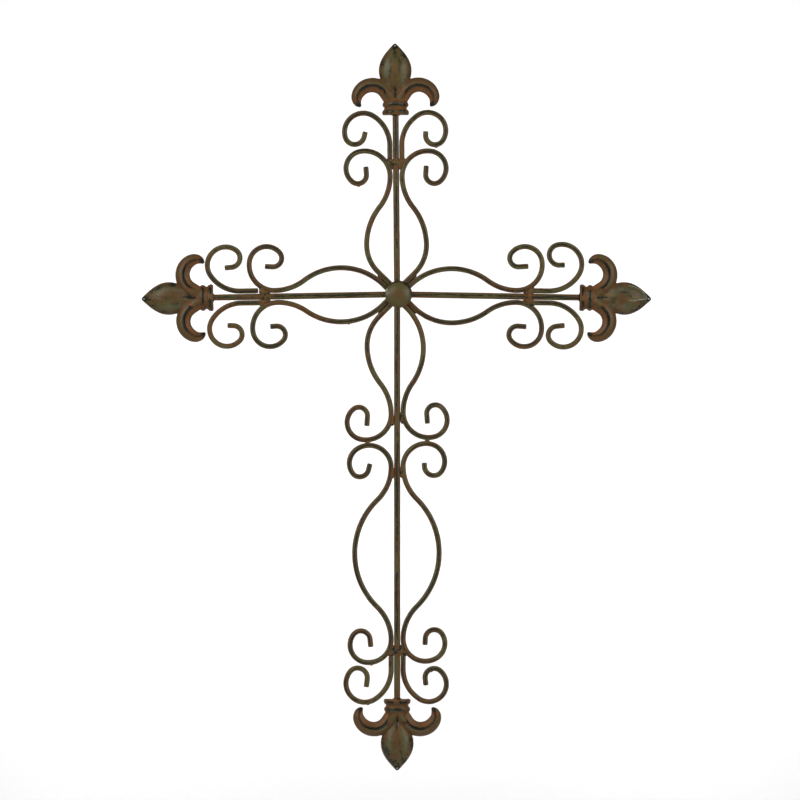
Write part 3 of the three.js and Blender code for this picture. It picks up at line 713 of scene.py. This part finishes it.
def leaf_form(side):
    """A side leaf that narrows and gets lower towards its tip."""
    section = [(LEAF_SECTION[0][0], LEAF_BACK_SHARE), *LEAF_SECTION, (LEAF_SECTION[-1][0], LEAF_BACK_SHARE)]
    vertices = []
    for x, z, heading, share in LEAF_LINE:
        width = max(LEAF_TIP_WIDTH_SHARE, (1 - share**5) ** 0.6)
        ridge = LEAF_TIP_RIDGE_DEPTH + (LEAF_RIDGE_DEPTH - LEAF_TIP_RIDGE_DEPTH) * (1 - share**3) ** 0.7
        for across, depth in section:
            reach = across * width * (LEAF_OUTER_WIDTH if across > 0 else LEAF_INNER_WIDTH)
            px = x + reach * math.sin(heading)
            pz = z - reach * math.cos(heading)
            vertices.append((px, -depth * ridge, pz * side))
    return vertices, tube_faces(len(LEAF_LINE), len(section))


def finial_mesh():
    """The casting in millimetres, along x, with a crease in its middle leaf and a flat back."""
    forms = [
        lathe_form(COLLAR_PROFILE, COLLAR_DEPTH_SHARE),
        lathe_form(NECK_PROFILE, NECK_DEPTH_SHARE),
        lathe_form(PETAL_PROFILE, PETAL_DEPTH_SHARE, PETAL_TIP),
        leaf_form(1),
        leaf_form(-1),
    ]
    mesh = remeshed("finial_cast", forms, FINIAL_VOXEL, FINIAL_SMOOTHING)
    co = vertices_of(mesh)
    along = smoothstep(CREASE["start"], CREASE["deep"], co[:, 0])
    along *= smoothstep(CREASE["end"], CREASE["fading"], co[:, 0])
    front = smoothstep(*CREASE_FRONT, co[:, 1])
    co[:, 1] += CREASE["depth"] * along * front * bell(co[:, 2], CREASE["width"])
    co[:, 1] = np.minimum(co[:, 1], 0)
    mesh.vertices.foreach_set("co", co.ravel())
    return mesh


def leaf_stripe(co, name):
    """How much each vertex is in a stripe along the side leaves, and its place as a share of their length."""
    offset, half_width = LEAF_STRIPES[name]
    x, z, heading, share = LEAF_LINE.T
    line = np.column_stack([x + offset * np.sin(heading), z - offset * np.cos(heading)])
    mirrored = np.column_stack([co[:, 0], np.abs(co[:, 2])])
    gaps = np.linalg.norm(mirrored[:, None, :] - line[None], axis=2)
    return bell(gaps.min(axis=1), half_width), share[gaps.argmin(axis=1)]


def side_leaf_paint(co, tones):
    """Shares of dark, rust and grey: a dark ridge and tip, a painted highlight outside the ridge, and rust on
    the band inside it and on the outer edge."""
    ridge, share = leaf_stripe(co, "ridge")
    band, glint, edge = (leaf_stripe(co, name)[0] for name in ("band", "glint", "edge"))
    dark = 1.25 * ridge * (1 - 0.45 * smoothstep(0.55, 0.8, share)) + 0.3 * tones["patches"]
    dark += 0.3 * tones["fine"] + 0.6 * smoothstep(0.86, 0.98, share)
    rust = 0.85 * band * np.clip(0.75 + 0.7 * tones["fine"] + 0.4 * tones["grain"], 0, 1) + 0.35 * edge
    # Grey: a painted highlight along the outer side of the ridge.
    grey = 0.8 * glint * smoothstep(0.7, 0.5, share)
    return np.array([dark, rust, grey])


def middle_leaf_paint(co, tones):
    """Shares of dark, rust and grey: dark streaks and tip, painted shade along the edges, rust down the
    middle, along the edges and beside the crease, and a painted highlight on both flanks."""
    x, _, z = co.T
    patches, fine, grain = tones["patches"], tones["fine"], tones["grain"]
    out = np.abs(z)
    to_edge = out / petal_half_width(x)
    dark = 0.72 * np.clip(0.34 + 0.8 * tones["streaks"] + 0.5 * patches + 0.25 * grain, 0, 1)
    # Painted shade: darker towards the middle leaf's edges.
    dark += 0.5 * smoothstep(0.5, 1, to_edge) * np.clip(0.55 + 0.9 * patches, 0, 1)
    dark += 0.5 * smoothstep(45, 62, x) * np.clip(1.2 * fine + 0.3 * grain, 0, 1)
    dark += 0.95 * bell(np.hypot(x - TIP_PALE_SPOT, z) - TIP_RING_RADIUS, 1.3)
    dark += 0.7 * bell(z, 2.4) * smoothstep(62, 69, x) * np.clip(0.6 + 1.5 * grain, 0, 1)
    rust = 0.6 * smoothstep(0.62, 0.97, to_edge) + 0.35 * bell(z, 4) * smoothstep(63, 51, x)
    rust += 0.4 * smoothstep(15, 18, x) * smoothstep(38, 26, x) * smoothstep(1.5, 3.5, out)
    # Grey: a painted highlight on both flanks.
    grey = 0.8 * bell(out - 9.3, 2.8) * smoothstep(59, 49, x) * smoothstep(26, 36, x)
    return np.array([dark, rust, grey])


def collar_paint(co, tones):
    """Shares of dark, rust and grey: a dark bar across the foot, parted in the middle, a whole one across
    the bead with a painted highlight on it, and rust in the grooves."""
    x, _, z = co.T
    foot = 1.3 * bell(x - COLLAR_FOOT_BAR, COLLAR_BAR_HALF_WIDTH)
    foot *= smoothstep(0.5, 4.5, np.abs(z + 0.8)) * smoothstep(12, 9.5, np.abs(z))
    bead = 1.5 * bell(x - COLLAR_BEAD_BAR, COLLAR_BAR_HALF_WIDTH) * smoothstep(10.5, 8, np.abs(z + 1.5))
    dark = (foot + bead) * np.clip(0.95 + 0.5 * tones["fine"] + 0.4 * tones["grain"], 0, 1.3)
    rust = 0.35 + 0.4 * sum(bell(x - groove, GROOVE_HALF_WIDTH) for groove in COLLAR_GROOVES)
    # Grey: a painted highlight along the dark bar on the bead.
    grey = 0.9 * bell(x - COLLAR_GLINT, 0.6) * smoothstep(9, 6.5, np.abs(z + 1.5)) * (bead > 0.2)
    return np.array([dark, rust, grey])


def finial_paint(co, seed):
    """Paint shares on a finial, from where each vertex lies on it, in millimetres."""
    x, _, z = co.T
    tones = {
        "patches": noise_at(co, FINIAL_TONES["patches"], seed),
        "fine": noise_at(co, FINIAL_TONES["fine"], seed + 1),
        "grain": noise_at(co, FINIAL_TONES["grain"], seed + 3),
        "streaks": noise_at(co * STREAK_STRETCH, FINIAL_TONES["streaks"], seed + 2),
    }
    patches, fine = tones["patches"], tones["fine"]
    on_leaf = smoothstep(*ON_SIDE_LEAF["out"], np.abs(z)) * smoothstep(*ON_SIDE_LEAF["along"], x)
    on_petal = smoothstep(*ON_MIDDLE_LEAF, x) * (1 - on_leaf)
    on_collar = smoothstep(*ON_COLLAR, x)
    dark, rust, grey = (
        on_leaf * side_leaf_paint(co, tones)
        + on_petal * middle_leaf_paint(co, tones)
        + on_collar * collar_paint(co, tones)
    )
    # Painted shade: darker along the crease in the middle leaf.
    crease_shade = bell(z, 1.5) * smoothstep(16, 19, x) * smoothstep(38, 24, x)
    dark += 0.9 * crease_shade
    rust += 0.5 * patches + 0.6 * fine + 0.4 * tones["grain"]
    olive = 0.4 + 0.8 * patches + 0.5 * fine + 0.2 * on_petal - 0.25 * on_leaf
    return np.column_stack([dark, rust, grey * (0.7 + 0.8 * fine), olive])


def finial_flecks(co, scratch):
    """Pale flecks on a finial: a pale spot at its tip, and bare metal in a scratch where its paint is rubbed.
    """
    x, _, z = co.T
    tip_spot = 0.75 * bell(np.hypot(x - TIP_PALE_SPOT, z), TIP_PALE_SPOT_RADIUS)
    if not scratch:
        return tip_spot
    gaps = [np.hypot(x - px, z - pz) for px, pz in scratch]
    return np.maximum(tip_spot, 0.34 * bell(np.min(gaps, axis=0), SCRATCH_HALF_WIDTH))


def points_between(corners, step):
    """Points along a line of straight stretches, about a step apart."""
    corners = np.array(corners, float)
    points = []
    for a, b in zip(corners, corners[1:]):
        count = max(1, round(np.linalg.norm(b - a) / step))
        points += [a + (b - a) * share for share in np.arange(count) / count]
    return points


def petal_half_width(x):
    places, widths = zip(*PETAL_PROFILE)
    return np.interp(x, places, widths) + PETAL_EDGE_MARGIN


def add_finials(material):
    cast = finial_mesh()
    co = vertices_of(cast)
    for place, (arm, direction) in enumerate(ARM_DIRECTIONS.items()):
        node = f"finial_{arm}"
        out, across = axes(direction)
        foot = (vertices_of(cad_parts[node].data) @ out).min()
        mesh = cast.copy()
        placed = out * (co[:, :1] * MM + foot) + across * co[:, 2:] * MM
        placed[:, 1] = co[:, 1] * MM
        mesh.vertices.foreach_set("co", placed.ravel())
        set_paint(mesh, finial_paint(co, seed_of("finials", place)))
        set_flecks(mesh, finial_flecks(co, points_between(SCRATCH, SCRATCH_STEP) if arm == "right" else []))
        add_piece(f"{node}_cast", mesh, material, [node])


# Boss


def boss_profile():
    """Radius and depth of each ring: the dome, its rolled rim, and the hub down to the wall."""
    rows = []
    for angle in quarter_turn(DOME_RINGS):
        rise = (BOSS_DOME_HEIGHT - BOSS_RIM) * math.cos(angle)
        rows.append((BOSS_RADIUS * math.sin(angle), -BOSS_SEAT - BOSS_RIM - rise))
    for angle in quarter_turn(RIM_RINGS)[1:]:
        radius = BOSS_RADIUS - BOSS_RIM * (1 - math.cos(angle))
        rows.append((radius, -BOSS_SEAT - BOSS_RIM * (1 - math.sin(angle))))
    rows.append((BOSS_HUB_RADIUS, -BOSS_SEAT))
    rows.append((BOSS_HUB_RADIUS, -BOSS_HUB_CHAMFER))
    rows.append((BOSS_HUB_RADIUS - BOSS_HUB_CHAMFER, 0))
    rows.append((0.0, 0.0))
    return rows


def add_boss(material):
    """A dome with a rolled rim over a round hub that reaches back to the wall."""
    profile = boss_profile()
    vertices = []
    for radius, depth in profile:
        for j in range(BOSS_SIDES):
            angle = j / BOSS_SIDES * FULL_TURN
            place = Vector((math.cos(angle), math.sin(angle), depth / DENT_DEPTH))
            dented = radius * (1 + BOSS_DENTS * noise.noise(place))
            vertices.append((dented * math.cos(angle), depth, dented * math.sin(angle)))
    co = np.array(vertices)
    paint, flecks = boss_paint(co)
    low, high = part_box("centre_boss")
    co += ((low.x + high.x) / 2, 0, (low.z + high.z) / 2)
    mesh = new_mesh("boss_dome", co, tube_faces(len(profile), BOSS_SIDES))
    set_paint(mesh, paint)
    set_flecks(mesh, flecks)
    add_piece("boss_dome", mesh, material, ["centre_boss"])


def boss_paint(co):
    """Paint shares and flecks on the boss, from where each vertex lies about its middle."""
    east, north = co[:, 0] / BOSS_RADIUS, co[:, 2] / BOSS_RADIUS
    away = np.hypot(east, north)
    rim = smoothstep(0.7, 1, away)
    blotch = noise_at(co, BOSS_TONES["blotch"], 5)
    fine = noise_at(co, BOSS_TONES["fine"], 6)
    offsets = (values - place for values, place in zip((east, north), BOSS_CHIP["place"]))
    patch = np.prod([bell(offset, reach) for offset, reach in zip(offsets, BOSS_CHIP["reach"])], axis=0)
    speck_east, speck_north = BOSS_SPECK["place"]
    speck = bell(np.hypot(east - speck_east, north - speck_north), BOSS_SPECK["reach"])
    dark = 1.1 * rim * np.clip(0.4 + 0.7 * north + 0.3 * east, 0, 1) + 0.3 * blotch + 0.4 * fine
    rust = 0.3 * smoothstep(0.7, 0.2, away) + 0.6 * rim * smoothstep(0.1, -0.8, north)
    rust += 0.3 * blotch + 0.45 * fine
    # A painted highlight on the dome's right side.
    glint = bell(east - BOSS_GLINT["place"], BOSS_GLINT["reach"]) * smoothstep(0.6, 0.2, np.abs(north))
    olive = 0.35 + 0.6 * away + 0.4 * blotch
    paint = np.column_stack([dark - patch, rust - patch, 0.7 * glint + 0.9 * patch, olive])
    return paint, np.maximum(0.34 * patch, 0.6 * speck)


# Welds and drips


def lump_form(centre, half):
    """An ellipsoid as vertices and faces."""
    vertices = []
    for i in range(1, LUMP_RINGS):
        polar = i / LUMP_RINGS * math.pi
        for j in range(LUMP_SIDES):
            turn = j / LUMP_SIDES * FULL_TURN
            unit = (math.cos(polar), math.sin(polar) * math.sin(turn), math.sin(polar) * math.cos(turn))
            vertices.append(tuple(c + h * u for c, h, u in zip(centre, half, unit)))
    return vertices, tube_faces(LUMP_RINGS - 1, LUMP_SIDES)


def roughened(mesh, seed):
    """Vertices pushed in and out along their normals, by lumps and by finer grains."""
    co = vertices_of(mesh)
    lumps = noise_at(co, WELD_LUMP_SIZE, seed)
    grains = noise_at(co, WELD_GRAIN_SIZE, seed + 1)
    return co + normals_of(mesh) * (WELD_ROUGHNESS * (lumps + 0.4 * grains))[:, None]


def dark_and_rust(dark, rust):
    """Paint shares without grey or olive."""
    return np.column_stack([dark, rust, *np.zeros((2, len(dark)))])


def weld_kind(node):
    """The kind of weld, the arm that it is on, and the side of the arm that its scroll is on."""
    _, first, last = node.split("_")
    if first in ARM_DIRECTIONS:
        return last, first, 1
    return "curls" if first == "curls" else "beside", "bottom", 1 if last == "right" else -1


def add_weld(node, material, seed):
    """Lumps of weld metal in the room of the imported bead, joined and roughened."""
    kind, arm, side = weld_kind(node)
    out, across = axes(ARM_DIRECTIONS[arm])
    forms = []
    for repeat, (x, z, depth), (half_x, half_z, half_depth) in WELD_LUMPS[kind]:
        for way in (side,) if repeat == "one" else (1, -1):
            forms.append(lump_form((x, -depth, z * way), (half_x, half_depth, half_z)))
    mesh = remeshed(f"{node}_bead", forms, WELD_VOXEL, WELD_SMOOTHING)
    co = roughened(mesh, seed)
    fine = noise_at(co, WELD_TONES["fine"], seed)
    patch = noise_at(co, WELD_TONES["patch"], seed + 5)
    rust = 0.35 + 0.5 * fine - 0.5 * patch
    set_paint(mesh, np.column_stack([0.25 + 1.1 * patch, rust, 0.2 * fine, 0.4 + 0.5 * patch]))
    centre = np.array(middle(node)) * (1, 0, 1)
    placed = centre + (out * co[:, :1] + across * co[:, 2:]) * MM
    placed[:, 1] = np.minimum(co[:, 1], -WELD_WALL_GAP) * MM
    mesh.vertices.foreach_set("co", placed.ravel())
    add_piece(f"{node}_bead", mesh, material, [node])


def add_seams(material):
    """Weld metal between the two scrolls that run side by side into the boss between two arms. Its dark
    colour is painted shade of the gap between the rods.
    """
    directions = list(ARM_DIRECTIONS.values())
    forms = []
    for first, second in zip(directions, directions[1:] + [directions[0] + 360]):
        out, across = axes((first + second) / 2)
        form, faces = lump_form((SEAM["middle"], -ROD_DEPTH / MM, 0), SEAM["half"])
        forms.append(([out * x + across * z + (0, y, 0) for x, y, z in form], faces))
    mesh = remeshed("boss_seams", forms, WELD_VOXEL, SEAM_SMOOTHING)
    co = roughened(mesh, 8)
    # Mostly dark: painted shade of the gap between the rods, on weld metal that is really there.
    dark = 0.7 + 0.5 * noise_at(co, SEAM_TONES["dark"], 9)
    rust = 0.3 + 0.5 * noise_at(co, SEAM_TONES["rust"], 10)
    set_paint(mesh, dark_and_rust(dark, rust))
    mesh.vertices.foreach_set("co", (co * MM).ravel())
    add_piece("boss_seams", mesh, material, [])


def add_drips(material, lines):
    """Drops of paint that set under the rods, each below the nearest point of a rod's middle line."""
    points = np.vstack([rows[:, :2] for rows in lines])
    form, form_faces = lump_form((0, 0, 0), (1, *DRIP_HALF_WIDTHS))
    vertices = []
    faces = []
    for x, z in DRIPS:
        line_x, line_z = points[np.linalg.norm(points - np.array([x, z]) * MM, axis=1).argmin()]
        faces += [[i + len(vertices) for i in face] for face in form_faces]
        for drop, y, wide in form:
            pinch = 1 - DRIP_THINNING * max(drop, 0)
            hang = DRIP_START + DRIP_LENGTH * drop
            vertices.append((line_x + wide * pinch * MM, -ROD_DEPTH + y * pinch * MM, line_z - hang * MM))
    mesh = new_mesh("paint_drips", vertices, faces)
    dark = 0.2 + 0.5 * noise_at(vertices, DRIP_TONE, 4)
    set_paint(mesh, dark_and_rust(dark, np.full(len(vertices), 0.75)))
    add_piece("paint_drips", mesh, material, [])


# Floor, wall, light and camera


def add_stage():
    """One pale sheet that rises far behind the cross in a wide curve from the floor."""
    profile = [(FLOOR_NEAR, FLOOR_HEIGHT)]
    for angle in quarter_turn(BEND_STEPS):
        back = WALL_PLACE - BEND_RADIUS * (1 - math.sin(angle))
        profile.append((back, FLOOR_HEIGHT + BEND_RADIUS * (1 - math.cos(angle))))
    profile.append((WALL_PLACE, WALL_TOP))
    vertices = [(x, y, z) for y, z in profile for x in (-STAGE_HALF_WIDTH, STAGE_HALF_WIDTH)]
    faces = [(2 * i, 2 * i + 1, 2 * i + 3, 2 * i + 2) for i in range(len(profile) - 1)]
    mesh = bpy.data.meshes.new("backdrop")
    mesh.from_pydata(vertices, [], faces)
    mesh.shade_smooth()
    mesh.materials.append(plain_paint("pale_backdrop", STAGE_WHITE, 0.9))
    sheet = bpy.data.objects.new("backdrop", mesh)
    bpy.context.scene.collection.objects.link(sheet)


def add_light(name, place, aim, power, size, glossy=True):
    light = bpy.data.lights.new(name, "AREA")
    light.shape = "RECTANGLE"
    light.size, light.size_y = size
    light.energy = power
    lamp = bpy.data.objects.new(name, light)
    lamp.location = place
    lamp.rotation_euler = (Vector(aim) - Vector(place)).to_track_quat("-Z", "Y").to_euler()
    lamp.visible_camera = False
    lamp.visible_glossy = glossy
    bpy.context.scene.collection.objects.link(lamp)
    return light


def add_lights():
    """Softboxes on both sides of the cross, a fill for its back, lamps on the backdrop, and a dim room."""
    for name, place, power, size, glossy in SOFT_LIGHTS:
        add_light(name, place, CENTRE, power, size, glossy)
    for side, name in ((-1, "left_backdrop_lamp"), (1, "right_backdrop_lamp")):
        place, aim = ((x * side, y, z) for x, y, z in (BACKDROP_LAMP["place"], BACKDROP_LAMP["aim"]))
        light = add_light(name, place, aim, BACKDROP_LAMP["power"], BACKDROP_LAMP["size"])
        light.spread = math.radians(BACKDROP_SPREAD)
    world = bpy.data.worlds.new("soft_room")
    world.use_nodes = True
    background = world.node_tree.nodes["Background"]
    background.inputs["Color"].default_value = (1, 1, 1, 1)
    background.inputs["Strength"].default_value = ROOM_LIGHT
    bpy.context.scene.world = world


def add_camera():
    camera = bpy.data.cameras.new("camera")
    camera.sensor_width = SENSOR_WIDTH
    camera.lens = SENSOR_WIDTH * CAMERA_DISTANCE / VIEW_WIDTH
    holder = bpy.data.objects.new("camera", camera)
    holder.location = CENTRE - Vector((0, CAMERA_DISTANCE + ROD_DEPTH, 0))
    holder.rotation_euler = (math.pi / 2, 0, 0)
    bpy.context.scene.collection.objects.link(holder)
    bpy.context.scene.camera = holder


def build():
    bar_paint = aged_paint("bar_paint", 0.25, 0.5)
    scroll_paint = aged_paint("scroll_paint", 0.25, 0.5)
    cast_paint = aged_paint("cast_paint", 0.35, 0.46, grain=1300, dark_range=CAST_DARK_RANGE)
    weld_paint = aged_paint("weld_paint", 0.5, 0.6, rust_bias=0.1)
    scrolls = [node for node in NODES if "scroll" in node]
    lines = []
    for place, node in enumerate(scrolls):
        lines.append(add_rod(node, scroll_paint, seed_of("scrolls", place)))
    add_drips(scroll_paint, lines)
    for place, node in enumerate(("upright_rod", "arm_rod_left", "arm_rod_right")):
        add_rod(node, bar_paint, seed_of("bars", place))
    add_finials(cast_paint)
    add_boss(cast_paint)
    add_seams(weld_paint)
    for place, node in enumerate(WELDS):
        add_weld(node, weld_paint, seed_of("welds", place))


bpy.context.scene.view_settings.view_transform = "Standard"
build()
add_stage()
add_lights()
add_camera()
